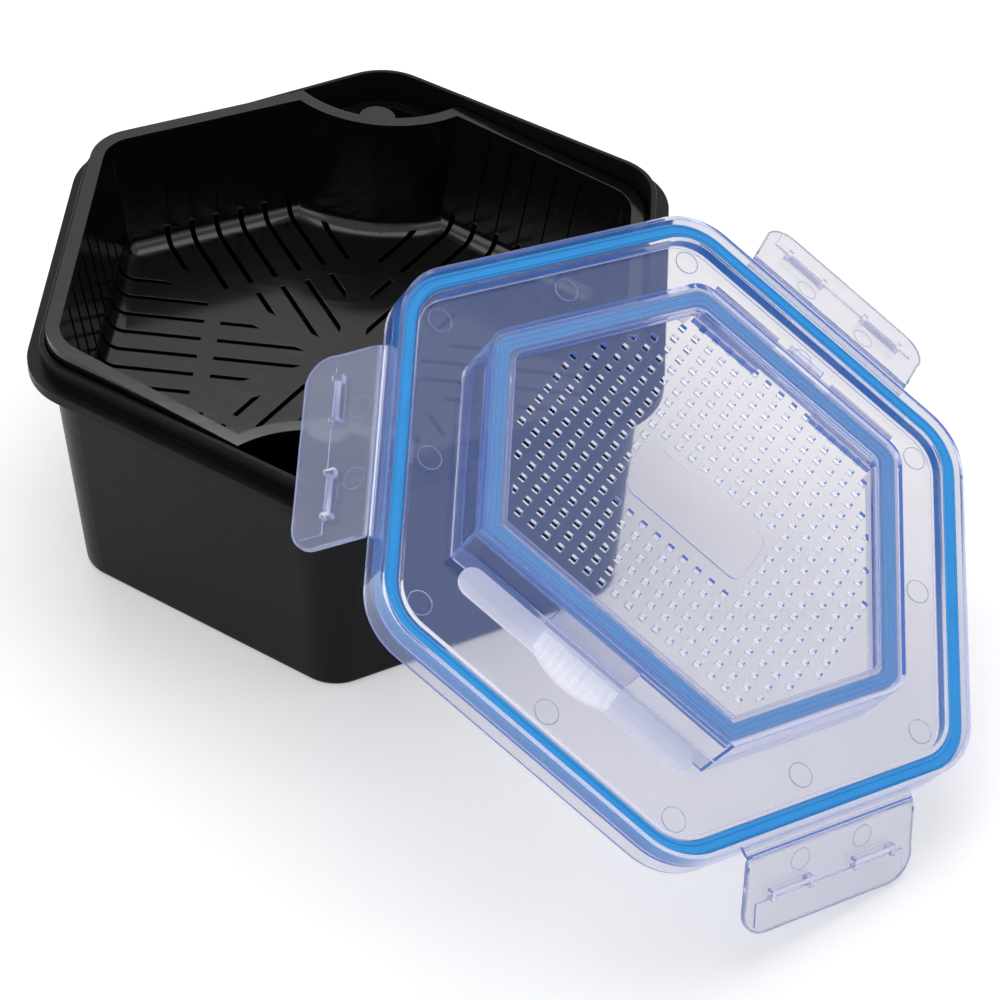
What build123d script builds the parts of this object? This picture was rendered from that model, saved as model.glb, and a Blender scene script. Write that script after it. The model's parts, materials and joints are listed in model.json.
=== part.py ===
from build123d import *
import math
import os

os.makedirs("parts", exist_ok=True)

# Hexagonal bait box with a riddle tray inside and its clip-on lid leaning on the rim.
# The origin is the middle of the tub's base, +Z up, a flat side of the tub facing +X.

# Tub
tubHeight = 98.8
rimApothem = 100.0
rimCorner = 21.4
rimWall = 1.8
baseApothem = 91.8
baseCorner = 14.9
wallDraft = 3.4
tubWall = 2.0
tubFloor = 2.4
ledgeDrop = 13.2
ledgePlate = 1.8
flangeReach = 4.6
flangeDrop = 6.9
flangeLip = 4.0
flangePlate = 1.8
flangeLipWall = 1.4
baseEdge = 2.5
floorFillet = 4.0
rimRounding = 0.5

# Riddle tray
trayClearance = 1.1
trayRimBand = 4.6
trayRimSkirt = 5.0
trayWall = 1.5
trayDepth = 44.0
trayDraft = 11.0
trayFoot = 6.0
pocketBeyondCorner = 12.0
pocketRadius = 44.2
pocketDraft = 6.5
thumbTab = 6.5
slotWidth = 1.8
slotPitch = 9.5
slotRows = 8
slotFootRise = 6.5
spokeHalf = 4.6
slotRingInner = 46.5
slotRingOuter = 52.3
fluteDepth = 0.6
fluteTop = 3.5

# Tray as it stands: the side at -X rides on the tub's rim, the side at +X is on the ledge
trayTilt = 3.9
trayShift = -0.7
trayRest = 0.15

# Lid, in its own frame: z = 0 is the sealing face and +z points into the closed box
skirtClearance = 0.4
skirtWall = 1.4
skirtEdge = 2.3
skirtTop = -10.7
lidPlate = 1.4
annulusFace = -3.5
channelFloor = -4.2
channelWall = 1.5
sealWidth = 5.2
sealCrown = 1.04
sealGap = 0.1
channelLip = 0.2
markRadius = 4.0
markHeight = 0.25
markInset = 6.9

# Latch flaps, hinged on lands that stand out from the skirt
landReach = 3.7
hingeFace = -1.1
flapLength = 27.9
flapHalf = 33.5
flapFlare = 0.8
flapCorner = 9.0
flapSheet = 1.4
hingeFilm = 0.3
hingeTaper = 1.2
hingeGap = 0.2
hookSpread = 16.7
hookSlot = 13.5
hookSlotWidth = 2.3
hookBar = 1.6
hookDepth = 2.4
hookGap = 0.25
gripPad = 0.6
gripPadInset = 1.6
gripPadEnd = 3.6
latchFolds = {"latch_left": (3, 55.8), "latch_rear": (1, 18.6), "latch_front": (5, 46.4)}

# Hatch well in the middle of the lid, with one side set in for the hatch latch
wellApothem = 72.6
wellCorner = 7.6
wellWall = 1.4
wellSetIn = 13.5
wellFace = 9.2
wellRim = -12.5
portLedge = 7.6
hatchSide = 1
latchSide = 4

# Hatch
hatchClearance = 0.6
hatchSheet = 1.5
hatchSealWidth = 4.6
hatchSealHeight = 3.0
hatchSealInset = 0.5
panGap = 1.6
holeSize = 2.2
holePitch = 5.5
holeMargin = 2.6
plateLength = 47.0
plateWidth = 21.0
plateCorner = 4.0
plateHeight = 0.5

# Hatch hinge
hingeBeyondWell = 15.4
hatchAxisFace = -7.4
knuckleRadius = 2.1
pinRadius = 1.0
pinClearance = 0.08
lidKnuckle = (-8.9, 5.2)
hatchKnuckles = ((-40.1, -13.5), (9.9, 36.8))
knuckleGap = 0.4
armStep = 0.1

# Hatch latch
strapHalf = 15.5
strapGap = 0.6
barHalf = 45.5
barWidth = 10.0
gripHalf = 14.5
gripDepth = 7.5
gripRibs = 9
gripCrown = 0.4
ribHeight = 1.0
catchBead = 0.5
catchGap = 0.2
latchHingeGap = 0.1

# The leaning lid: a point of its well rim stands on the tub's rim near the corner at -30 degrees
lidXDir = (0.90471, 0.13931, -0.40260)
lidZDir = (0.42587, -0.27047, 0.86341)
leanPoint = (-14.4, 49.45, -5.5)


def hexagon(apothem, corner):
    """Hexagon with rounded corners, flat sides square to +X, 60 degrees, 120 degrees and so on."""
    outline = RegularPolygon(apothem, 6, major_radius=False, rotation=30)
    return fillet(outline.vertices(), corner)


def setIn(outline, reach):
    """Outline cut back on the latch side, so that this side lies `reach` from the middle."""
    size = 4 * rimApothem
    keep = Pos(reach - size / 2, 0) * Rectangle(size, size)
    return outline & Rot(0, 0, 60 * latchSide) * keep


def prism(outline, low, high):
    return extrude(Pos(0, 0, low) * outline, amount=high - low)


def ring(outer, inner, low, high):
    return prism(outer, low, high) - prism(inner, low, high)


def widening(outline, low, high, draft):
    """Solid on `outline` at `low` whose walls lean outwards by `draft` degrees up to `high`."""
    return extrude(Pos(0, 0, low) * outline, amount=high - low, taper=-draft)


def bottomEdges(solid):
    return solid.faces().sort_by(Axis.Z)[0].edges()


def turned(side, shape):
    return Rot(0, 0, 60 * side) * shape


# Tub
ledgeZ = tubHeight - ledgeDrop
stepZ = ledgeZ - ledgePlate
flangeTop = tubHeight - flangeDrop
flangeApothem = rimApothem + flangeReach
rimInside = rimApothem - rimWall


def bodySection(z, inset):
    grow = z * math.tan(math.radians(wallDraft)) - inset
    return hexagon(baseApothem + grow, baseCorner + grow)


def makeTub():
    body = widening(bodySection(0, 0), 0, stepZ, wallDraft)
    body = fillet(bottomEdges(body), baseEdge)
    body += prism(hexagon(rimApothem, rimCorner), stepZ, tubHeight)
    body = fillet(body.faces().sort_by(Axis.Z)[-1].edges(), rimRounding)
    flange = prism(hexagon(flangeApothem, rimCorner + flangeReach), flangeTop - flangeLip, flangeTop)
    lipInside = flangeReach - flangeLipWall
    flange -= ring(
        hexagon(rimApothem + lipInside, rimCorner + lipInside),
        hexagon(rimApothem, rimCorner),
        flangeTop - flangeLip,
        flangeTop - flangePlate,
    )
    body += flange
    hollow = widening(bodySection(tubFloor, tubWall), tubFloor, ledgeZ, wallDraft)
    body -= fillet(bottomEdges(hollow), floorFillet)
    body -= prism(hexagon(rimInside, rimCorner - rimWall), ledgeZ, tubHeight)
    return body


# Riddle tray, in its own frame: z = 0 is the top of its rim
trayRim = rimInside - trayClearance
trayRimCorner = rimCorner - rimWall - trayClearance
trayInside = trayRim - trayRimBand
trayInsideCorner = trayRimCorner - trayRimBand
pocketCentre = trayRim / math.cos(math.radians(30)) + pocketBeyondCorner
pocketAngles = (90, 270)


def traySection(z, outset):
    grow = z * math.tan(math.radians(trayDraft)) + outset
    return hexagon(trayInside + grow, trayInsideCorner + grow)


def pocketCones(inset):
    """Walls of the two rounded pockets, wider at the foot, `inset` inside the tray's inner face."""
    deep = trayDepth + 2 * trayWall
    footRadius = pocketRadius + deep * math.tan(math.radians(pocketDraft))
    cones = []
    for angle in pocketAngles:
        standing = (Align.CENTER, Align.CENTER, Align.MIN)
        cone = Cone(footRadius - inset, pocketRadius - inset, deep, align=standing)
        cones.append(Rot(0, 0, angle) * Pos(pocketCentre, 0, -deep) * cone)
    return cones


def pocketDiscs(radius):
    return [Rot(0, 0, angle) * Pos(pocketCentre, 0) * Circle(radius) for angle in pocketAngles]


def slotPattern():
    """Floor slots: rows square to each side, clear of the spokes, the plain ring and the pockets."""
    wide = trayInside
    apex = spokeHalf / math.sin(math.radians(30))
    half = (wide - apex) * math.tan(math.radians(30))
    wedge = Polygon((apex, 0), (wide, -half), (wide, half), align=None)
    footApothem = trayInside - (trayDepth - slotFootRise) * math.tan(math.radians(trayDraft))
    bars = Sketch()
    for row in range(slotRows):
        across = (row - (slotRows - 1) / 2) * slotPitch
        for low, high in ((0, slotRingInner), (slotRingOuter, footApothem + trayWall)):
            bars += Pos((low + high) / 2, across) * Rectangle(high - low, slotWidth)
    sector = bars & wedge
    pattern = Sketch() + [turned(side, sector) for side in range(6)]
    footRadius = pocketRadius + trayDepth * math.tan(math.radians(pocketDraft)) + slotWidth
    for disc in pocketDiscs(footRadius):
        pattern -= disc
    return pattern


def wallFlutes():
    """Upright flutes in the tray's inner wall above the slots, where no pocket takes the wall."""
    length = trayDepth - slotFootRise - fluteTop
    middle = fluteTop + length / 2
    apothem = trayInside - middle * math.tan(math.radians(trayDraft))
    flute = Rot(0, trayDraft, 0) * Box(2 * fluteDepth, slotWidth, length)
    flutes = []
    for side in range(6):
        for row in range(slotRows):
            across = (row - (slotRows - 1) / 2) * slotPitch
            place = turned(side, Pos(apothem, across, -middle))
            spot = place.position
            nearest = min(
                math.hypot(spot.X, spot.Y - pocketCentre), math.hypot(spot.X, spot.Y + pocketCentre)
            )
            if nearest > pocketRadius + slotPitch:
                flutes.append(place * flute)
    return flutes


def makeTray():
    bottom = trayDepth + trayWall
    body = widening(traySection(-bottom, trayWall), -bottom, 0, trayDraft)
    body -= pocketCones(trayWall)
    rim = hexagon(trayRim, trayRimCorner)
    for disc in pocketDiscs(pocketRadius - trayRimBand):
        rim -= disc
    rimCore = offset(rim, amount=-trayWall)
    body += prism(rim, -trayRimSkirt, 0) - prism(rimCore, -trayRimSkirt, -trayWall)
    for angle in pocketAngles:
        tab = Cylinder(thumbTab, trayWall, align=(Align.CENTER, Align.CENTER, Align.MAX))
        body += Rot(0, 0, angle) * Pos(pocketCentre - pocketRadius + trayRimBand, 0, 0) * tab
    hollow = widening(traySection(-trayDepth, 0), -trayDepth, 0, trayDraft) - pocketCones(0)
    hollow = fillet(bottomEdges(hollow), trayFoot)
    body -= hollow
    body -= prism(slotPattern(), -bottom, slotFootRise - trayDepth)
    body -= wallFlutes()
    return body


trayTop = ledgeZ + trayRimSkirt + trayRim * math.sin(math.radians(trayTilt)) + trayRest
trayPlace = Pos(trayShift, 0, trayTop) * Rot(0, trayTilt, 0)

# Lid
skirtInside = rimApothem + skirtClearance
skirtCorner = rimCorner + skirtClearance
skirtOutside = skirtInside + skirtWall
channelInside = skirtInside - 2 * sealGap - sealWidth
channelFoot = channelInside - channelWall
hingeApothem = skirtOutside + landReach
annulusBack = annulusFace - lidPlate
wellOutline = setIn(hexagon(wellApothem, wellCorner), wellApothem - wellSetIn)
wellOutside = setIn(
    hexagon(wellApothem + wellWall, wellCorner + wellWall), wellApothem + wellWall - wellSetIn
)
portApothem = wellApothem - portLedge
portCorner = wellCorner - portLedge / 2
hatchAxisApothem = wellApothem + hingeBeyondWell
portOutline = setIn(hexagon(portApothem, portCorner), portApothem - wellSetIn)


def skirtHexagon(apothem):
    return hexagon(apothem, skirtCorner + apothem - skirtInside)


def hingeWedge(outward, half):
    """Sheet that thins to a film at the hinge line: the land inside it, or the flap outside it."""
    reach = flapLength if outward else -landReach - skirtWall / 2
    sign = 1 if outward else -1
    thick = flapSheet / 2
    film = hingeFilm / 2
    points = [
        (sign * hingeGap, -film),
        (sign * (hingeGap + hingeTaper), -thick),
        (reach, -thick),
        (reach, thick),
        (sign * (hingeGap + hingeTaper), thick),
        (sign * hingeGap, film),
    ]
    profile = Plane.XZ * Polygon(*points, align=None)
    return extrude(profile, amount=half, both=True)


def lidKnuckleBlock():
    low, high = lidKnuckle
    barrel = Cylinder(knuckleRadius, high - low, rotation=(90, 0, 0))
    rise = annulusBack - hatchAxisFace
    foot = Pos(0, 0, rise / 2) * Box(2 * knuckleRadius, high - low, rise)
    bore = Cylinder(pinRadius + pinClearance, high - low, rotation=(90, 0, 0))
    place = Pos(hatchAxisApothem, (low + high) / 2, hatchAxisFace)
    return turned(hatchSide, place * (barrel + foot - bore))


def makeLid():
    skirt = ring(skirtHexagon(skirtOutside), skirtHexagon(skirtInside), skirtTop, skirtEdge)
    body = skirt + ring(
        skirtHexagon(skirtInside + skirtWall / 2),
        skirtHexagon(channelFoot),
        channelFloor - lidPlate,
        channelFloor,
    )
    body += ring(
        skirtHexagon(channelInside), skirtHexagon(channelFoot), channelFloor - lidPlate, channelLip
    )
    body += ring(skirtHexagon(channelInside), wellOutline, annulusBack, annulusFace)
    body += ring(wellOutside, wellOutline, wellRim, wellFace)
    body += ring(wellOutside, portOutline, wellFace - lidPlate, wellFace)
    armLow = hatchKnuckles[0][0] - 2 * knuckleGap
    armHigh = hatchKnuckles[-1][1] + 2 * knuckleGap
    notch = Pos(wellApothem, (armLow + armHigh) / 2, wellRim) * Box(
        4 * wellWall,
        armHigh - armLow,
        annulusBack - wellRim,
        align=(Align.CENTER, Align.CENTER, Align.MIN),
    )
    body -= turned(hatchSide, notch)
    bead = Pos(wellApothem - wellSetIn + wellWall, 0, wellRim + catchBead) * Cylinder(
        catchBead, 2 * strapHalf, rotation=(90, 0, 0)
    )
    body += turned(latchSide, bead)
    for side, fold in latchFolds.values():
        body += turned(side, Pos(hingeApothem, 0, hingeFace) * hingeWedge(False, flapHalf))
    markApothem = channelFoot - markInset
    mark = Cylinder(markRadius, markHeight, align=(Align.CENTER, Align.CENTER, Align.MIN))
    for side in range(6):
        body += turned(side, Pos(markApothem, 0, annulusFace) * mark)
        corner = markApothem / math.cos(math.radians(30)) - markHeight
        body += Rot(0, 0, 60 * side + 30) * Pos(corner, 0, annulusFace) * mark
    return body + lidKnuckleBlock()


def makeMainSeal():
    outer = skirtInside - sealGap
    low = channelFloor + sealGap
    seal = ring(skirtHexagon(outer), skirtHexagon(outer - sealWidth), low, 0)
    return fillet(seal.faces().sort_by(Axis.Z)[-1].edges(), sealCrown)


# Latch flaps, flat and hinged at x = 0; the hooks stand on the face that closes on the tub
hookTop = flangeDrop + flangeLip - hingeFace + hookGap
gripStart = hookTop + hookBar + hookSlotWidth


def makeFlap():
    wide = flapHalf + flapFlare
    outline = Polygon(
        (0, -flapHalf), (flapLength, -wide), (flapLength, wide), (0, flapHalf), align=None
    )
    corners = outline.vertices().sort_by(Axis.X)[-2:]
    outline = fillet(corners, flapCorner)
    flap = hingeWedge(True, wide) & prism(outline, -flapSheet, flapSheet)
    pad = offset(outline, amount=-gripPadInset)
    keep = Rectangle(flapLength - gripStart, 2 * (flapHalf - gripPadEnd), align=(Align.MIN, Align.CENTER))
    flap += prism(pad & (Pos(gripStart, 0) * keep), flapSheet / 2, flapSheet / 2 + gripPad)
    for spread in (-hookSpread, hookSpread):
        slotMiddle = hookTop + hookBar + hookSlotWidth / 2
        slot = Pos(slotMiddle, spread, 0) * Box(hookSlotWidth, hookSlot, 2 * flapSheet)
        frame = Box(
            hookBar + hookSlotWidth,
            hookSlot + 2 * hookBar,
            hookDepth,
            align=(Align.MIN, Align.CENTER, Align.MIN),
        )
        flap += Pos(hookTop, spread, flapSheet / 2) * frame
        inside = Box(
            hookSlotWidth, hookSlot, 4 * hookDepth, align=(Align.MIN, Align.CENTER, Align.CENTER)
        )
        flap -= Pos(hookTop + hookBar, spread, 0) * inside
        flap -= slot
    return flap


# Hatch
flangeEdge = wellApothem - hatchClearance
sealSeat = wellFace - lidPlate - sealGap - hatchSealHeight
panWallOut = portApothem + panGap
panFace = sealSeat + hatchSealHeight - 2 * hatchClearance


def hatchOutline(apothem, corner):
    return setIn(hexagon(apothem, corner), apothem - wellSetIn)


def perforations():
    """Square holes in a square lattice with rows along the latch side, clear of the bare plate."""
    reach = panWallOut - hatchSheet - holeMargin
    zone = turned(-latchSide, hatchOutline(reach, portCorner))
    count = int(reach / holePitch)
    spots = []
    for i in range(-count, count + 1):
        for j in range(-count, count + 1):
            x, y = i * holePitch, j * holePitch
            onPlate = abs(x) < plateWidth / 2 + holeSize and abs(y) < plateLength / 2 + holeSize
            inZone = all(
                x * math.cos(math.radians(60 * side)) + y * math.sin(math.radians(60 * side)) < reach
                for side in range(6)
            )
            if inZone and x < reach - wellSetIn and not onPlate:
                spots.append(Pos(x, y))
    holes = Sketch() + [spot * Rectangle(holeSize, holeSize) for spot in spots]
    return turned(latchSide, holes & zone)


def makeHatch():
    flange = ring(
        hatchOutline(flangeEdge, wellCorner - hatchClearance),
        hatchOutline(panWallOut - hatchSheet, portCorner),
        sealSeat - hatchSheet,
        sealSeat,
    )
    pan = ring(
        hatchOutline(panWallOut, portCorner + hatchSheet),
        hatchOutline(panWallOut - hatchSheet, portCorner),
        sealSeat - hatchSheet,
        panFace,
    )
    body = flange + pan
    armTop = hatchAxisFace + knuckleRadius - hatchSheet - armStep
    for low, high in hatchKnuckles:
        wide = high - low
        middle = (low + high) / 2
        arm = Box(
            hatchAxisApothem - flangeEdge + hatchSheet,
            wide,
            hatchSheet,
            align=(Align.MAX, Align.CENTER, Align.MIN),
        )
        body += turned(hatchSide, Pos(hatchAxisApothem, middle, armTop) * arm)
        web = Box(
            hatchSheet, wide, sealSeat - armTop, align=(Align.MAX, Align.CENTER, Align.MIN)
        )
        body += turned(hatchSide, Pos(flangeEdge, middle, armTop) * web)
        barrel = Cylinder(knuckleRadius, wide, rotation=(90, 0, 0))
        bore = Cylinder(pinRadius, wide, rotation=(90, 0, 0))
        place = Pos(hatchAxisApothem, middle, hatchAxisFace)
        body += turned(hatchSide, place * barrel)
        body -= turned(hatchSide, place * bore)
    upstand = Box(
        hatchSheet,
        2 * strapHalf,
        sealSeat - latchAxisFace - hatchSheet / 2 - latchHingeGap,
        align=(Align.MAX, Align.CENTER, Align.MAX),
    )
    body += turned(latchSide, Pos(flangeEdge - wellSetIn, 0, sealSeat) * upstand)
    return body


def makeHatchScreen():
    panel = hatchOutline(panWallOut - hatchSheet, portCorner) - perforations()
    plate = Rectangle(plateWidth, plateLength)
    plate = turned(latchSide, fillet(plate.vertices(), plateCorner))
    return prism(panel, panFace - hatchSheet, panFace) + prism(plate, panFace, panFace + plateHeight)


def makeHatchSeal():
    """Set in from the flange's edge, because its top swings outwards as the hatch starts to open."""
    outer = flangeEdge - hatchSealInset
    inner = outer - hatchSealWidth
    seal = ring(
        hatchOutline(outer, wellCorner - hatchClearance - hatchSealInset),
        hatchOutline(inner, portCorner + hatchSheet),
        sealSeat,
        sealSeat + hatchSealHeight,
    )
    return seal


def makePin():
    low = hatchKnuckles[0][0]
    high = hatchKnuckles[-1][1]
    pin = Cylinder(pinRadius, high - low, rotation=(90, 0, 0))
    return turned(hatchSide, Pos(hatchAxisApothem, (low + high) / 2, hatchAxisFace) * pin)


# Hatch latch: strap over the well's rim, web with a catch bead, finger bar and ribbed grip
latchAxisFace = wellRim - strapGap - hatchSheet / 2
latchAxisApothem = flangeEdge - wellSetIn - hatchSheet / 2


def makeHatchLatch():
    rimOuter = wellApothem - wellSetIn + wellWall
    webIn = rimOuter + catchBead + strapGap
    strap = Box(
        webIn + hatchSheet - latchAxisApothem,
        2 * strapHalf,
        hatchSheet,
        align=(Align.MIN, Align.CENTER, Align.CENTER),
    )
    strap += Cylinder(hatchSheet / 2, 2 * strapHalf, rotation=(90, 0, 0))
    body = Pos(latchAxisApothem, 0, latchAxisFace) * strap
    barFace = annulusBack - strapGap
    web = Box(
        hatchSheet, 2 * strapHalf, barFace - latchAxisFace, align=(Align.MIN, Align.CENTER, Align.MIN)
    )
    body += Pos(webIn, 0, latchAxisFace) * web
    bar = SlotOverall(2 * barHalf, barWidth, rotation=90)
    body += prism(Pos(webIn + barWidth / 2, 0) * bar, barFace - hatchSheet, barFace)
    catch = Cylinder(catchBead, 2 * strapHalf, rotation=(90, 0, 0))
    body += Pos(webIn, 0, wellRim + 3 * catchBead + catchGap) * catch
    ribStep = 2 * gripHalf / (gripRibs - 1)
    for rib in range(gripRibs):
        across = -gripHalf + rib * ribStep
        reach = gripDepth * (1 - gripCrown * (across / gripHalf) ** 2)
        block = Box(reach, ribStep / 2, ribHeight, align=(Align.MIN, Align.CENTER, Align.MAX))
        body += Pos(webIn + hatchSheet, across, barFace - hatchSheet) * block
    return turned(latchSide, body)


# Places of the leaning lid
cornerFlat = (rimApothem - rimCorner) / math.cos(math.radians(30)) + rimCorner
cornerE = Vector(
    cornerFlat * math.cos(math.radians(-30)), cornerFlat * math.sin(math.radians(-30)), tubHeight
)
tilted = Plane(origin=(0, 0, 0), x_dir=lidXDir, z_dir=lidZDir)
lidOrigin = cornerE - tilted.from_local_coords(Vector(*leanPoint))
lidPlace = Location(Plane(origin=lidOrigin, x_dir=lidXDir, z_dir=lidZDir))

nodes = {
    "tub": makeTub(),
    "riddle_tray": trayPlace * makeTray(),
    "lid": lidPlace * makeLid(),
    "main_seal": lidPlace * makeMainSeal(),
    "hatch": lidPlace * makeHatch(),
    "hatch_screen": lidPlace * makeHatchScreen(),
    "hatch_seal": lidPlace * makeHatchSeal(),
    "hatch_hinge_pin": lidPlace * makePin(),
    "hatch_latch": lidPlace * makeHatchLatch(),
}
flap = makeFlap()
for name, (side, fold) in latchFolds.items():
    seat = turned(side, Pos(hingeApothem, 0, hingeFace) * Rot(0, fold, 0))
    nodes[name] = lidPlace * (seat * flap)

for name, solid in nodes.items():
    export_step(solid, f"parts/{name}.step")
print("lid origin", lidOrigin, "tray top", round(trayTop, 2))
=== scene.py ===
import json
import math

import bpy
from mathutils import Matrix, Vector


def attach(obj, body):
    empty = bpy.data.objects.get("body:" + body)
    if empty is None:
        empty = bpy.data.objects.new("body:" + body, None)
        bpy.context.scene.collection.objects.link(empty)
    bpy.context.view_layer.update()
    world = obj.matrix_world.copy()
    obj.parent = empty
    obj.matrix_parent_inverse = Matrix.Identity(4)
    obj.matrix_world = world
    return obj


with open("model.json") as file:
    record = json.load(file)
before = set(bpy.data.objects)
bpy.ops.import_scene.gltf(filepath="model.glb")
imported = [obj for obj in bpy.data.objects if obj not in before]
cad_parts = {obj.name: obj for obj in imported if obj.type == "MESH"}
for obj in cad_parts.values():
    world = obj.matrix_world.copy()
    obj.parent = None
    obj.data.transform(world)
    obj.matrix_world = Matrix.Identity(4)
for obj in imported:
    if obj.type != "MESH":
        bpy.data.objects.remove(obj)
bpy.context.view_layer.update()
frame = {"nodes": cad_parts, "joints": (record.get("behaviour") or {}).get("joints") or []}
nodes = frame["nodes"]
joints = {joint["name"]: joint for joint in frame["joints"]}
print("stage: frame loaded,", len(nodes), "nodes")


# shared node groups: each puts out values, masks or normals only

def newGroup(name, inputs, outputs):
    group = bpy.data.node_groups.new(name, "ShaderNodeTree")
    for label, kind, value in inputs:
        socket = group.interface.new_socket(label, in_out="INPUT", socket_type=kind)
        if value is not None:
            socket.default_value = value
    for label, kind in outputs:
        group.interface.new_socket(label, in_out="OUTPUT", socket_type=kind)
    return group, group.nodes.new("NodeGroupInput"), group.nodes.new("NodeGroupOutput")


def addNode(tree, kind, **values):
    node = tree.nodes.new(kind)
    for key, value in values.items():
        setattr(node, key, value)
    return node


grainDetail = {"grain": 3.0, "wave": 1.0}


def makeMouldGrain():
    # spark-eroded mould face: fine grain over a slow sink wave
    group, start, end = newGroup(
        "mouldGrain",
        [("Grain Scale", "NodeSocketFloat", 2200.0), ("Wave Scale", "NodeSocketFloat", 35.0),
         ("Wave Share", "NodeSocketFloat", 0.4)],
        [("Height", "NodeSocketFloat"), ("Cloud", "NodeSocketFloat")])
    links = group.links
    coords = addNode(group, "ShaderNodeTexCoord")
    grain = addNode(group, "ShaderNodeTexNoise")
    wave = addNode(group, "ShaderNodeTexNoise")
    wave.inputs["Detail"].default_value = grainDetail["wave"]
    grain.inputs["Detail"].default_value = grainDetail["grain"]
    blend = addNode(group, "ShaderNodeMix", data_type="FLOAT")
    links.new(coords.outputs["Object"], grain.inputs["Vector"])
    links.new(coords.outputs["Object"], wave.inputs["Vector"])
    links.new(start.outputs["Grain Scale"], grain.inputs["Scale"])
    links.new(start.outputs["Wave Scale"], wave.inputs["Scale"])
    links.new(start.outputs["Wave Share"], blend.inputs["Factor"])
    links.new(grain.outputs["Fac"], blend.inputs["A"])
    links.new(wave.outputs["Fac"], blend.inputs["B"])
    links.new(blend.outputs["Result"], end.inputs["Height"])
    links.new(wave.outputs["Fac"], end.inputs["Cloud"])
    return group


rubShape = {"stretch": (1.0, 9.0, 5.0), "turn": (0.3, 0.5, 0.8), "detail": 4.0, "cloudScale": 14.0,
            "faintFrom": 0.52, "fullFrom": 0.72}


def makeHandling():
    # faint rubs from handling and stacking: long thin streaks, broken up by a slow cloud
    group, start, end = newGroup(
        "handlingRubs",
        [("Base", "NodeSocketFloat", 0.3), ("Spread", "NodeSocketFloat", 0.1),
         ("Streak Scale", "NodeSocketFloat", 60.0)],
        [("Roughness", "NodeSocketFloat")])
    links = group.links
    coords = addNode(group, "ShaderNodeTexCoord")
    stretch = addNode(group, "ShaderNodeMapping")
    stretch.inputs["Scale"].default_value = rubShape["stretch"]
    stretch.inputs["Rotation"].default_value = rubShape["turn"]
    streak = addNode(group, "ShaderNodeTexNoise")
    streak.inputs["Detail"].default_value = rubShape["detail"]
    cloud = addNode(group, "ShaderNodeTexNoise")
    cloud.inputs["Scale"].default_value = rubShape["cloudScale"]
    sharpen = addNode(group, "ShaderNodeMapRange")
    sharpen.inputs["From Min"].default_value = rubShape["faintFrom"]
    sharpen.inputs["From Max"].default_value = rubShape["fullFrom"]
    both = addNode(group, "ShaderNodeMath", operation="MULTIPLY")
    add = addNode(group, "ShaderNodeMath", operation="MULTIPLY_ADD")
    links.new(coords.outputs["Object"], stretch.inputs["Vector"])
    links.new(stretch.outputs["Vector"], streak.inputs["Vector"])
    links.new(coords.outputs["Object"], cloud.inputs["Vector"])
    links.new(start.outputs["Streak Scale"], streak.inputs["Scale"])
    links.new(streak.outputs["Fac"], sharpen.inputs["Value"])
    links.new(sharpen.outputs["Result"], both.inputs[0])
    links.new(cloud.outputs["Fac"], both.inputs[1])
    links.new(both.outputs["Value"], add.inputs[0])
    links.new(start.outputs["Spread"], add.inputs[1])
    links.new(start.outputs["Base"], add.inputs[2])
    links.new(add.outputs["Value"], end.inputs["Roughness"])
    return group


def makeSoftEdge():
    # moulded edges are never sharp: a small rounding, with the bump laid over it
    group, start, end = newGroup(
        "softEdge",
        [("Radius", "NodeSocketFloat", 0.0003), ("Height", "NodeSocketFloat", 0.5),
         ("Strength", "NodeSocketFloat", 0.1), ("Depth", "NodeSocketFloat", 0.0001)],
        [("Normal", "NodeSocketVector")])
    links = group.links
    edge = addNode(group, "ShaderNodeBevel", samples=4)
    bump = addNode(group, "ShaderNodeBump")
    links.new(start.outputs["Radius"], edge.inputs["Radius"])
    links.new(start.outputs["Height"], bump.inputs["Height"])
    links.new(start.outputs["Strength"], bump.inputs["Strength"])
    links.new(start.outputs["Depth"], bump.inputs["Distance"])
    links.new(edge.outputs["Normal"], bump.inputs["Normal"])
    links.new(bump.outputs["Normal"], end.inputs["Normal"])
    return group


mouldGrain = makeMouldGrain()
handlingRubs = makeHandling()
softEdge = makeSoftEdge()
print("stage: node groups built")


def newMaterial(name):
    material = bpy.data.materials.new(name)
    material.use_nodes = True
    tree = material.node_tree
    return material, tree, tree.nodes["Principled BSDF"]


def placeGroup(tree, group, **values):
    node = tree.nodes.new("ShaderNodeGroup")
    node.node_tree = group
    for key, value in values.items():
        node.inputs[key.replace("_", " ")].default_value = value
    return node


def surface(tree, shader, look):
    # grain, rubs and softened edges, wired the same way in every moulded plastic
    grain = placeGroup(tree, mouldGrain, Grain_Scale=look["grainScale"], Wave_Scale=look["waveScale"],
                       Wave_Share=look["waveShare"])
    rubs = placeGroup(tree, handlingRubs, Base=look["roughness"], Spread=look["rubSpread"],
                      Streak_Scale=look["rubScale"])
    edge = placeGroup(tree, softEdge, Radius=look["edge"], Strength=look["grain"], Depth=look["depth"])
    tree.links.new(grain.outputs["Height"], edge.inputs["Height"])
    tree.links.new(edge.outputs["Normal"], shader.inputs["Normal"])
    tree.links.new(rubs.outputs["Roughness"], shader.inputs["Roughness"])
    return grain


def tintByCloud(tree, shader, grain, dark, light):
    # base colour that drifts between two close shades with the slow wave
    mix = addNode(tree, "ShaderNodeMix", data_type="RGBA")
    mix.inputs["A"].default_value = (*dark, 1.0)
    mix.inputs["B"].default_value = (*light, 1.0)
    tree.links.new(grain.outputs["Cloud"], mix.inputs["Factor"])
    tree.links.new(mix.outputs["Result"], shader.inputs["Base Color"])


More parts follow.
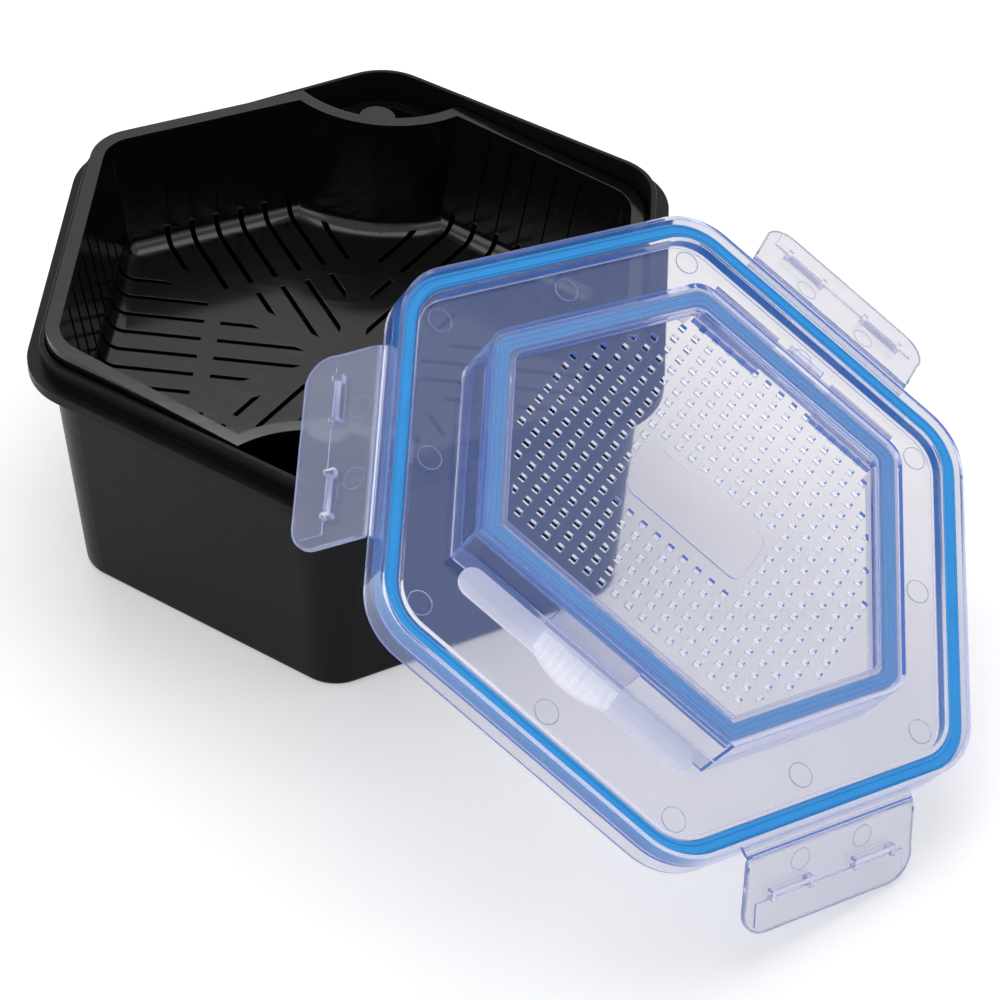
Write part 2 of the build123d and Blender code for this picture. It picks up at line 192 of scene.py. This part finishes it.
tubLook = {"dark": (0.0050, 0.0051, 0.0056), "light": (0.0080, 0.0081, 0.0088), "roughness": 0.34,
           "ior": 1.49, "shine": 0.10, "rubSpread": 0.16, "rubScale": 45.0, "grainScale": 2600.0,
           "waveScale": 28.0, "waveShare": 0.35, "grain": 0.22, "depth": 0.00012, "edge": 0.0004}
trayLook = {"dark": (0.0022, 0.0022, 0.0026), "light": (0.0040, 0.0041, 0.0046), "roughness": 0.13,
            "ior": 1.5, "shine": 0.42, "rubSpread": 0.14, "rubScale": 55.0, "grainScale": 1800.0,
            "waveScale": 45.0, "waveShare": 0.75, "grain": 0.12, "depth": 0.00012, "edge": 0.0004}


def makeBlackPlastic(name, look):
    # satin on the tub, gloss in the tray
    material, tree, shader = newMaterial(name)
    grain = surface(tree, shader, look)
    tintByCloud(tree, shader, grain, look["dark"], look["light"])
    shader.inputs["IOR"].default_value = look["ior"]
    shader.inputs["Specular IOR Level"].default_value = look["shine"]
    return material


# the emission colour and strength in these looks are painted glow: the clear parts glow faintly blue, so
# they read navy over black though no lamp lights them
clearLook = {"color": (0.79, 0.75, 0.67), "thin": (0.75, 0.71, 0.63), "roughness": 0.05, "ior": 1.49,
             "rubSpread": 0.10, "rubScale": 70.0, "grainScale": 1500.0, "waveScale": 60.0,
             "waveShare": 0.7, "grain": 0.10, "depth": 0.00010, "edge": 0.00035,
             "transmission": 0.985, "paintedGlow": (0.06, 0.23, 1.0), "paintedGlowStrength": 0.085}
flapLook = dict(clearLook, color=(0.80, 0.77, 0.71), thin=(0.77, 0.74, 0.68), roughness=0.13,
                transmission=0.90, paintedGlow=(0.10, 0.26, 1.0), paintedGlowStrength=0.075)
# the grip looks carry a stronger, near-white painted glow, strongest on the white grip
gripLook = dict(clearLook, color=(0.95, 0.95, 0.96), thin=(0.92, 0.92, 0.94), roughness=0.22,
                transmission=0.45, paintedGlow=(0.78, 0.83, 1.0), paintedGlowStrength=0.20)
whiteLook = dict(gripLook, transmission=0.08, paintedGlow=(0.90, 0.92, 1.0), paintedGlowStrength=0.45)
pinShade = 0.02  # the pin is this much darker than the clear mouldings


def makeClearPlastic(name, look, shift=0.0):
    # clarified polypropylene: clear sheet with a painted blue glow, a faint emission in place of light
    # scattered in the sheet; milkier on the flaps and the latch, from less transmission and a stronger
    # painted glow
    material, tree, shader = newMaterial(name)
    grain = surface(tree, shader, look)
    dark = tuple(c - shift for c in look["thin"])
    light = tuple(c - shift for c in look["color"])
    tintByCloud(tree, shader, grain, dark, light)
    shader.inputs["IOR"].default_value = look["ior"]
    shader.inputs["Transmission Weight"].default_value = look["transmission"]
    shader.inputs["Emission Color"].default_value = (*look["paintedGlow"], 1.0)
    shader.inputs["Emission Strength"].default_value = look["paintedGlowStrength"]
    return material


sealLook = {"dark": (0.024, 0.330, 0.82), "light": (0.036, 0.385, 0.90), "roughness": 0.34, "ior": 1.43,
            "rubSpread": 0.12, "rubScale": 90.0, "grainScale": 2400.0, "waveScale": 80.0,
            "waveShare": 0.3, "grain": 0.18, "depth": 0.00010, "edge": 0.0003}
hatchSealLift = 0.06  # the hatch's seal is this much paler than the main one


def makeSealRubber(name, lift=0.0):
    # soft blue seal with a fine matt skin
    material, tree, shader = newMaterial(name)
    grain = surface(tree, shader, sealLook)
    dark = tuple(c + lift for c in sealLook["dark"])
    light = tuple(c + lift for c in sealLook["light"])
    tintByCloud(tree, shader, grain, dark, light)
    shader.inputs["IOR"].default_value = sealLook["ior"]
    return material


tubPlastic = makeBlackPlastic("tubBlackSatin", tubLook)
trayPlastic = makeBlackPlastic("trayBlackGloss", trayLook)
clearPlastic = makeClearPlastic("clearMoulding", clearLook)
latchPlastic = makeClearPlastic("milkyFlap", flapLook)
gripPlastic = makeClearPlastic("milkyGrip", gripLook)
gripWhite = makeClearPlastic("whiteGrip", whiteLook)
pinPlastic = makeClearPlastic("clearPin", clearLook, shift=pinShade)
mainSealRubber = makeSealRubber("sealBlue")
hatchSealRubber = makeSealRubber("hatchSealBlue", lift=hatchSealLift)

finishes = {
    "tub": tubPlastic,
    "riddle_tray": trayPlastic,
    "lid": clearPlastic,
    "hatch": clearPlastic,
    "hatch_screen": clearPlastic,
    "hatch_latch": gripPlastic,
    "latch_left": latchPlastic,
    "latch_rear": latchPlastic,
    "latch_front": latchPlastic,
    "main_seal": mainSealRubber,
    "hatch_seal": hatchSealRubber,
    "hatch_hinge_pin": pinPlastic,
}
for name, material in finishes.items():
    for holder in nodes[name].material_slots:
        holder.material = material
print("stage: materials on", len(finishes), "nodes")


# places on the leaning lid, worked out from its latch hinges

hingeRadius = 0.1055  # hinge line from the lid's middle
hingeDrop = 0.0011  # hinge line below the sealing face
sideAngle = 60  # from one flat side of the lid to the next
latchNames = ("latch_left", "latch_rear", "latch_front")


def hingeOf(name):
    joint = joints[name + "_hinge"]
    return Vector(joint["pos_m"]), Vector(joint["axis"]).normalized()


rearAxis = hingeOf("latch_rear")[1]
frontAxis = hingeOf("latch_front")[1]
lidUp = frontAxis.cross(rearAxis).normalized()
lidMiddle = Vector((0, 0, 0))
for latchName in latchNames:
    place, axis = hingeOf(latchName)
    lidMiddle += (place - hingeRadius * axis.cross(lidUp) + hingeDrop * lidUp) / len(latchNames)


def lidPoint(x, y, height):
    # the lid's own x axis lies one side round from the rear latch
    across = rearAxis.cross(lidUp)
    reach = Matrix.Rotation(math.radians(-sideAngle), 3, lidUp) @ across
    side = lidUp.cross(reach)
    return lidMiddle + x * reach + y * side + height * lidUp


def finishMesh(name, mesh, body, material, smooth=True):
    piece = bpy.data.objects.new(name, mesh)
    bpy.context.scene.collection.objects.link(piece)
    mesh.materials.append(material)
    for polygon in mesh.polygons:
        polygon.use_smooth = smooth
    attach(piece, body)
    return piece


def tubeAlong(name, path, radius, sides, closed=False):
    # round bead that follows a path of points
    count = len(path)
    vertices = []
    faces = []
    previous = None
    for index, point in enumerate(path):
        before = path[(index - 1) % count] if closed or index else point
        after = path[(index + 1) % count] if closed or index < count - 1 else point
        forward = (after - before).normalized()
        guide = previous if previous is not None else forward.orthogonal()
        across = (guide - guide.dot(forward) * forward).normalized()
        previous = across
        lift = forward.cross(across)
        for side in range(sides):
            angle = 2 * math.pi * side / sides
            vertices.append(point + radius * (math.cos(angle) * across + math.sin(angle) * lift))
    spans = count if closed else count - 1
    for index in range(spans):
        for side in range(sides):
            a = index * sides + side
            b = index * sides + (side + 1) % sides
            c = ((index + 1) % count) * sides + (side + 1) % sides
            d = ((index + 1) % count) * sides + side
            faces.append((a, b, c, d))
    if not closed:
        faces.append(tuple(reversed(range(sides))))
        faces.append(tuple(range((count - 1) * sides, count * sides)))
    mesh = bpy.data.meshes.new(name)
    mesh.from_pydata(vertices, [], faces)
    mesh.update()
    return mesh


# film hinges: the web that joins each latch flap to its land

filmHinge = {"radius": 0.00030, "halfLength": 0.0334, "steps": 24, "sides": 10}


def makeFilmHinge(name):
    place, axis = hingeOf(name)
    steps = filmHinge["steps"]
    path = [place + axis * filmHinge["halfLength"] * (2 * i / steps - 1) for i in range(steps + 1)]
    mesh = tubeAlong("filmHinge_" + name, path, filmHinge["radius"], filmHinge["sides"])
    return finishMesh("filmHinge_" + name, mesh, "lid", latchPlastic)


for latchName in latchNames:
    makeFilmHinge(latchName)
print("stage: film hinges")


# moulding marks on each flap: two ejector rings near the hinge and a bead round the free edge

flapMarks = {"length": 0.0279, "halfWidth": 0.0343, "hingeHalf": 0.0337, "corner": 0.009,
             "halfSheet": 0.0007, "flare": 0.0003, "beadRadius": 0.00035, "beadInset": 0.0004,
             "beadSides": 8, "ringOffset": 0.0062, "ringSpread": 0.0125, "ringRadius": 0.0037,
             "ringBead": 0.00014, "ringSteps": 40, "ringSides": 6, "arcSteps": 10, "straightSteps": 6}


def flapFrame(name):
    # the lower limit stands the flap at 90 degrees to the lid, so it tells how far it is folded at rest
    place, axis = hingeOf(name)
    fold = math.radians(-joints[name + "_hinge"]["range_deg"][0] - 90)
    outward = axis.cross(lidUp)
    along = math.cos(fold) * outward - math.sin(fold) * lidUp
    face = along.cross(axis)
    return place, along, axis, face


def flapPoint(name, distance, across, height):
    place, along, axis, face = flapFrame(name)
    return place + distance * along + across * axis + height * face


def makeFlapBead(name):
    size = flapMarks
    inset = size["beadInset"]
    wide = size["halfWidth"] - inset
    long = size["length"] - inset
    corner = size["corner"]
    outline = []
    for sign in (1, -1):
        side = []
        for i in range(size["straightSteps"]):
            share = (i + 1) / (size["straightSteps"] + 1)
            side.append((share * (long - corner), size["hingeHalf"] - inset + share * size["flare"]))
        for i in range(size["arcSteps"] + 1):
            angle = math.pi / 2 * i / size["arcSteps"]
            side.append((long - corner + corner * math.sin(angle), wide - corner + corner * math.cos(angle)))
        side = [(x, sign * y) for x, y in side]
        outline += side if sign > 0 else list(reversed(side))
    path = [flapPoint(name, x, y, size["halfSheet"]) for x, y in outline]
    mesh = tubeAlong("flapBead_" + name, path, size["beadRadius"], size["beadSides"])
    return finishMesh("flapBead_" + name, mesh, name, latchPlastic)


def makeEjectorRing(name, index, spread):
    size = flapMarks
    path = []
    for i in range(size["ringSteps"]):
        angle = 2 * math.pi * i / size["ringSteps"]
        path.append(flapPoint(name, size["ringOffset"] + size["ringRadius"] * math.cos(angle),
                              spread + size["ringRadius"] * math.sin(angle), size["halfSheet"]))
    label = "ejectorRing_%s_%d" % (name, index)
    mesh = tubeAlong(label, path, size["ringBead"], size["ringSides"], closed=True)
    return finishMesh(label, mesh, name, latchPlastic)


for latchName in latchNames:
    makeFlapBead(latchName)
    for index, spread in enumerate((-flapMarks["ringSpread"], flapMarks["ringSpread"])):
        makeEjectorRing(latchName, index, spread)
print("stage: latch details")


# sealing lips: two fine ridges round the top of each seal

def hexagonPath(apothem, corner, setInSide=None, setIn=0.0, arcSteps=8):
    # rounded hexagon, with one flat side set in towards the middle where asked
    points = []
    half = sideAngle / 2
    for index in range(6):
        angle = math.radians(half + sideAngle * index)
        reach = (apothem - corner) / math.cos(math.radians(half))
        centre = Vector((reach * math.cos(angle), reach * math.sin(angle)))
        for step in range(arcSteps + 1):
            turn = angle + math.radians(-half + sideAngle * step / arcSteps)
            points.append(centre + corner * Vector((math.cos(turn), math.sin(turn))))
    if setInSide is None:
        return points
    angle = math.radians(sideAngle * setInSide)
    outward = Vector((math.cos(angle), math.sin(angle)))
    limit = apothem - setIn
    clipped = []
    count = len(points)
    for index in range(count):
        here = points[index]
        after = points[(index + 1) % count]
        hereBeyond = here.dot(outward) - limit
        afterBeyond = after.dot(outward) - limit
        if hereBeyond <= 0:
            clipped.append(here)
        if hereBeyond * afterBeyond < 0:
            clipped.append(here + (after - here) * (hereBeyond / (hereBeyond - afterBeyond)))
    return clipped


sealLips = {
    "main_seal": {"apothems": (0.0991, 0.0965), "corner": 0.0203, "height": 0.0, "radius": 0.00030,
                  "sides": 8, "body": "lid", "finish": mainSealRubber, "setInSide": None, "setIn": 0.0},
    "hatch_seal": {"apothems": (0.0703, 0.0684), "corner": 0.0051, "height": 0.0077, "radius": 0.00025,
                   "sides": 8, "body": "hatch", "finish": hatchSealRubber, "setInSide": 4, "setIn": 0.0135},
}


def makeSealLip(name, index, apothem):
    lip = sealLips[name]
    shrink = lip["apothems"][0] - apothem
    outline = hexagonPath(apothem, lip["corner"] - shrink, lip["setInSide"], lip["setIn"])
    path = [lidPoint(p.x, p.y, lip["height"]) for p in outline]
    label = "sealLip_%s_%d" % (name, index)
    mesh = tubeAlong(label, path, lip["radius"], lip["sides"], closed=True)
    return finishMesh(label, mesh, lip["body"], lip["finish"])


for sealName in sealLips:
    for index, apothem in enumerate(sealLips[sealName]["apothems"]):
        makeSealLip(sealName, index, apothem)
print("stage: seal lips")


# ejector discs in the lid's plate, at its sides and corners in turn, each with a fine raised rim

lidDiscs = {"count": 12, "apothem": 0.0866, "cornerInset": 0.00025, "radius": 0.0040,
            "height": -0.00325, "bead": 0.00018, "steps": 40, "sides": 6}


def makeLidDisc(index):
    size = lidDiscs
    angle = math.radians(360 / size["count"] * index)
    reach = size["apothem"]
    if index % 2:
        reach = reach / math.cos(math.radians(sideAngle / 2)) - size["cornerInset"]
    path = []
    for step in range(size["steps"]):
        turn = 2 * math.pi * step / size["steps"]
        path.append(lidPoint(reach * math.cos(angle) + size["radius"] * math.cos(turn),
                             reach * math.sin(angle) + size["radius"] * math.sin(turn), size["height"]))
    label = "lidDisc_%02d" % index
    mesh = tubeAlong(label, path, size["bead"], size["sides"], closed=True)
    return finishMesh(label, mesh, "lid", latchPlastic)


for index in range(lidDiscs["count"]):
    makeLidDisc(index)
print("stage: lid discs")


# the hatch latch's white grip: a pad over the middle of the bar that bulges past its outer edge,
# with low rounded ribs on the face towards the lid's plate, clear of it by 0.15 mm

gripPad = {"side": 4, "start": 0.0634, "reach": 0.0112, "crown": 0.36, "half": 0.0148, "ribs": 10,
           "ribSpan": 0.92, "ribRadius": 0.0008, "ribSides": 12, "low": -0.0070, "high": -0.0054,
           "ribLine": -0.00585, "steps": 12, "outlineSteps": 24}


def gripPoint(apothem, across, height):
    angle = math.radians(sideAngle * gripPad["side"])
    return lidPoint(apothem * math.cos(angle) - across * math.sin(angle),
                    apothem * math.sin(angle) + across * math.cos(angle), height)


def gripReach(across):
    return gripPad["start"] + gripPad["reach"] * (1 - gripPad["crown"] * (across / gripPad["half"]) ** 2)


def makeGripSlab():
    steps = gripPad["outlineSteps"]
    across = [gripPad["half"] * (2 * i / steps - 1) for i in range(steps + 1)]
    outline = [(gripPad["start"], t) for t in (across[0], across[-1])]
    outline += [(gripReach(t), t) for t in reversed(across)]
    vertices = [gripPoint(a, t, z) for z in (gripPad["low"], gripPad["high"]) for a, t in outline]
    count = len(outline)
    faces = [tuple(reversed(range(count))), tuple(range(count, 2 * count))]
    faces += [(i, (i + 1) % count, count + (i + 1) % count, count + i) for i in range(count)]
    mesh = bpy.data.meshes.new("gripSlab")
    mesh.from_pydata(vertices, [], faces)
    mesh.update()
    return finishMesh("gripSlab", mesh, "hatch_latch", gripWhite, smooth=False)


def makeGripRib(index):
    size = gripPad
    across = size["half"] * size["ribSpan"] * (2 * index / (size["ribs"] - 1) - 1)
    far = gripReach(across)
    path = [gripPoint(size["start"] + (far - size["start"]) * i / size["steps"], across, size["ribLine"])
            for i in range(size["steps"] + 1)]
    mesh = tubeAlong("gripRib_%02d" % index, path, size["ribRadius"], size["ribSides"])
    return finishMesh("gripRib_%02d" % index, mesh, "hatch_latch", gripWhite)


makeGripSlab()
for index in range(gripPad["ribs"]):
    makeGripRib(index)
print("stage: hatch latch grip")


# floor, world, lamps and camera

def raySeesBackground(tree):
    # 1 for the camera, reflections and what shows through clear plastic, 0 for light that falls on things
    path = addNode(tree, "ShaderNodeLightPath")
    direct = addNode(tree, "ShaderNodeMath", operation="MAXIMUM")
    seen = addNode(tree, "ShaderNodeMath", operation="MAXIMUM")
    tree.links.new(path.outputs["Is Camera Ray"], direct.inputs[0])
    tree.links.new(path.outputs["Is Glossy Ray"], direct.inputs[1])
    tree.links.new(direct.outputs["Value"], seen.inputs[0])
    tree.links.new(path.outputs["Is Transmission Ray"], seen.inputs[1])
    return seen.outputs["Value"]


floorLook = {"size": 8.0, "color": (0.88, 0.88, 0.885), "roughness": 0.9, "shine": 0.1, "lift": 0.36,
             "drop": 0.0002}


def makeFloor():
    half = floorLook["size"] / 2
    low = -floorLook["drop"]
    mesh = bpy.data.meshes.new("studioFloor")
    corners = [(-half, -half, low), (half, -half, low), (half, half, low), (-half, half, low)]
    mesh.from_pydata(corners, [], [(0, 1, 2, 3)])
    floor = bpy.data.objects.new("studioFloor", mesh)
    bpy.context.scene.collection.objects.link(floor)
    material, tree, shader = newMaterial("floorPaper")
    shader.inputs["Base Color"].default_value = (*floorLook["color"], 1.0)
    shader.inputs["Roughness"].default_value = floorLook["roughness"]
    shader.inputs["Specular IOR Level"].default_value = floorLook["shine"]
    lift = addNode(tree, "ShaderNodeMath", operation="MULTIPLY")
    lift.inputs[1].default_value = floorLook["lift"]
    tree.links.new(raySeesBackground(tree), lift.inputs[0])
    glow = addNode(tree, "ShaderNodeEmission")
    total = addNode(tree, "ShaderNodeAddShader")
    output = tree.nodes["Material Output"]
    tree.links.new(lift.outputs["Value"], glow.inputs["Strength"])
    tree.links.new(shader.outputs["BSDF"], total.inputs[0])
    tree.links.new(glow.outputs["Emission"], total.inputs[1])
    tree.links.new(total.outputs["Shader"], output.inputs["Surface"])
    mesh.materials.append(material)
    return floor


worldLook = {"seen": 1.0, "light": 0.42}


def makeWorld():
    world = bpy.data.worlds.new("studioWorld")
    bpy.context.scene.world = world
    world.use_nodes = True
    tree = world.node_tree
    background = tree.nodes["Background"]
    background.inputs["Color"].default_value = (1.0, 1.0, 1.0, 1.0)
    strength = addNode(tree, "ShaderNodeMapRange")
    strength.inputs["To Min"].default_value = worldLook["light"]
    strength.inputs["To Max"].default_value = worldLook["seen"]
    tree.links.new(raySeesBackground(tree), strength.inputs["Value"])
    tree.links.new(strength.outputs["Result"], background.inputs["Strength"])


lamps = {
    "topSoftbox": {"at": (0.05, 0.25, 1.45), "aim": (0.05, -0.05, 0.05), "size": (1.3, 1.0), "watts": 7.5},
    "leftSoftbox": {"at": (-1.15, -0.75, 0.85), "aim": (0.0, -0.05, 0.05), "size": (0.7, 1.0), "watts": 3.0},
    "rightFill": {"at": (1.25, -0.9, 0.8), "aim": (0.1, -0.05, 0.05), "size": (0.8, 0.9), "watts": 2.2},
    "backStrip": {"at": (-0.05, 0.75, 0.95), "aim": (-0.02, 0.02, 0.05), "size": (0.9, 0.06), "watts": 2.0},
}


def makeLamp(name, lamp):
    data = bpy.data.lights.new(name, "AREA")
    data.shape = "RECTANGLE"
    data.size, data.size_y = lamp["size"]
    data.energy = lamp["watts"]
    light = bpy.data.objects.new(name, data)
    bpy.context.scene.collection.objects.link(light)
    light.location = lamp["at"]
    aim = Vector(lamp["aim"]) - Vector(lamp["at"])
    light.rotation_euler = aim.to_track_quat("-Z", "Y").to_euler()


cameraLook = {"at": (0.08637, -0.79964, 0.74019), "azimuth": -3.949, "elevation": 42.063, "roll": 0.291,
              "lens": 109.58, "sensor": 36.0, "shift": (0.0518, -0.0539), "clip": (0.05, 30.0)}


def makeCamera():
    data = bpy.data.cameras.new("photoCamera")
    data.sensor_width = cameraLook["sensor"]
    data.lens = cameraLook["lens"]
    data.shift_x, data.shift_y = cameraLook["shift"]
    data.clip_start, data.clip_end = cameraLook["clip"]
    camera = bpy.data.objects.new("photoCamera", data)
    bpy.context.scene.collection.objects.link(camera)
    azimuth = math.radians(cameraLook["azimuth"])
    elevation = math.radians(cameraLook["elevation"])
    forward = Vector((math.sin(azimuth) * math.cos(elevation), math.cos(azimuth) * math.cos(elevation),
                      -math.sin(elevation)))
    right = forward.cross(Vector((0, 0, 1))).normalized()
    up = right.cross(forward)
    roll = math.radians(cameraLook["roll"])
    right, up = (math.cos(roll) * right + math.sin(roll) * up, math.cos(roll) * up - math.sin(roll) * right)
    turn = Matrix((right, up, -forward)).transposed().to_4x4()
    camera.matrix_world = Matrix.Translation(cameraLook["at"]) @ turn
    bpy.context.scene.camera = camera


makeFloor()
makeWorld()
for lampName, lamp in lamps.items():
    makeLamp(lampName, lamp)
makeCamera()
bpy.context.scene.view_settings.view_transform = "Standard"
print("stage: floor, world, lamps and camera")
